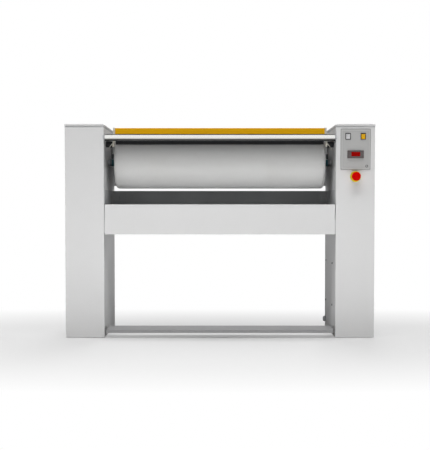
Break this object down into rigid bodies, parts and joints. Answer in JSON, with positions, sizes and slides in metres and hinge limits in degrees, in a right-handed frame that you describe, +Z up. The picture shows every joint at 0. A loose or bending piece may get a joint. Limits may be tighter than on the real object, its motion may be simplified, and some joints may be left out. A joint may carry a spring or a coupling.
{
  "type": "flatwork ironer",
  "caption": "Wall-type flatwork ironer: padded roller against a heated chest between two sheet-metal pillars, with feed bar, finger guard, linen tray, foot treadle and control panel.",
  "frame": {"origin": "on the floor under the middle of the whole part", "axes": "+X to the right of a person facing the machine, +Y to the back, +Z up"},
  "size_m": [1.449, 0.4618, 1],
  "materials": {
    "light_paint": "light grey powder coat, satin",
    "grey_paint": "mid grey powder coat, satin",
    "dark_paint": "dark grey paint, satin",
    "steel": "ground steel",
    "dark_steel": "zinc plated or oiled steel",
    "chrome": "bright plated tube",
    "cloth": "cotton ironing cloth",
    "felt": "needled felt padding",
    "foil": "foil faced mineral wool",
    "yellow": "signal yellow, satin",
    "yellow_paint": "signal yellow paint, satin",
    "red": "signal red moulding",
    "amber": "amber rocker",
    "white": "white rocker",
    "pale_plastic": "pale grey moulding",
    "black_plastic": "black moulding",
    "teal_plastic": "dark teal bearing plastic",
    "panel_grey": "silk grey panel foil",
    "rubber": "black rubber"
  },
  "bodies": {
    "frame": {"side_frame_left": "light_paint", "side_frame_right": "light_paint", "casing_left": "light_paint", "casing_right": "light_paint", "lid_left": "light_paint", "lid_right": "light_paint", "tray_apron": "light_paint", "foot_front_left": "rubber", "foot_front_right": "rubber", "foot_rear_left": "rubber", "foot_rear_right": "rubber", "rear_cover": "grey_paint", "gear_motor": "grey_paint", "contactor_block": "grey_paint", "linen_tray": "dark_paint", "bearing_plate_left": "dark_paint", "bearing_plate_right": "dark_paint", "feed_bar": "chrome", "feed_bar_plug_left": "black_plastic", "feed_bar_plug_right": "black_plastic", "guard_pin_left": "black_plastic", "guard_pin_right": "black_plastic", "rocker_housing_left": "black_plastic", "rocker_housing_right": "black_plastic", "controller": "black_plastic", "cable_gland": "black_plastic", "pedal_spring": "steel", "roller_bearing_left": "dark_steel", "roller_bearing_right": "dark_steel", "drive_chain": "dark_steel", "motor_screw_1": "dark_steel", "motor_screw_2": "dark_steel", "motor_screw_3": "dark_steel", "motor_screw_4": "dark_steel", "control_panel": "panel_grey", "estop_collar": "yellow"},
    "roller": {"roller_drum": "steel", "roller_padding": "felt", "roller_cover": "cloth", "shaft_collar_left": "teal_plastic", "shaft_collar_right": "teal_plastic", "roller_sprocket": "dark_steel"},
    "motor_drive": {"motor_sprocket": "dark_steel"},
    "chest": {"chest_plate": "steel", "heating_element_upper": "dark_steel", "heating_element_lower": "dark_steel", "chest_insulation": "foil", "chest_end_left": "dark_steel", "chest_end_right": "dark_steel", "chest_arm_left": "dark_steel", "chest_arm_right": "dark_steel"},
    "treadle": {"pedal": "grey_paint"},
    "link": {"pull_rod": "dark_steel"},
    "guard": {"guard_bar": "yellow_paint", "guard_arm_left": "pale_plastic", "guard_arm_right": "pale_plastic"},
    "rocker_white": {"rocker_left": "white"},
    "rocker_amber": {"rocker_right": "amber"},
    "estop_plunger": {"estop_stem": "black_plastic"},
    "estop_button": {"estop_cap": "red"}
  },
  "joints": [
    {"name": "roller_spin", "type": "hinge", "parent": "frame", "child": "roller", "pos_m": [0, 0.0204, 0.83], "axis": [1, 0, 0], "continuous": true},
    {"name": "motor_spin", "type": "hinge", "parent": "frame", "child": "motor_drive", "pos_m": [0, 0.0204, 0.27], "axis": [1, 0, 0], "continuous": true},
    {"name": "chest_swing", "type": "hinge", "parent": "frame", "child": "chest", "pos_m": [0, 0.1434, 0.64], "axis": [1, 0, 0], "range_deg": [0, 2], "stiffness_Nm_per_rad": 300, "springref_deg": -2.86},
    {"name": "treadle_press", "type": "hinge", "parent": "frame", "child": "treadle", "pos_m": [0, 0.1634, 0.06], "axis": [1, 0, 0], "range_deg": [0, 3.35], "stiffness_Nm_per_rad": 400, "springref_deg": -3.44, "deforming": ["pedal_spring"]},
    {"name": "rod_lift", "type": "slide", "parent": "frame", "child": "link", "axis": [0, 0, 1], "range_m": [0, 0.00176]},
    {"name": "guard_tilt", "type": "hinge", "parent": "frame", "child": "guard", "pos_m": [0, -0.0816, 0.913], "axis": [-1, 0, 0], "range_deg": [0, 12], "stiffness_Nm_per_rad": 4, "springref_deg": -11.46},
    {"name": "white_rocker_tip", "type": "hinge", "parent": "frame", "child": "rocker_white", "pos_m": [0.5962, -0.1909, 0.9428], "axis": [-1, 0, 0], "range_deg": [0, 16]},
    {"name": "amber_rocker_tip", "type": "hinge", "parent": "frame", "child": "rocker_amber", "pos_m": [0.6668, -0.1909, 0.9428], "axis": [-1, 0, 0], "range_deg": [0, 16]},
    {"name": "estop_press", "type": "slide", "parent": "frame", "child": "estop_plunger", "axis": [0, 1, 0], "range_m": [0, 0.005]},
    {"name": "estop_twist", "type": "hinge", "parent": "estop_plunger", "child": "estop_button", "pos_m": [0.6315, -0.2216, 0.756], "axis": [0, 1, 0], "range_deg": [0, 30], "stiffness_Nm_per_rad": 0.05}
  ],
  "couplings": [
    {"joint": "motor_spin", "follows": "roller_spin", "ratio": 1.6},
    {"joint": "treadle_press", "follows": "chest_swing", "ratio": 1.6667},
    {"joint": "rod_lift", "follows": "chest_swing", "m_per_rad": 0.05}
  ]
}
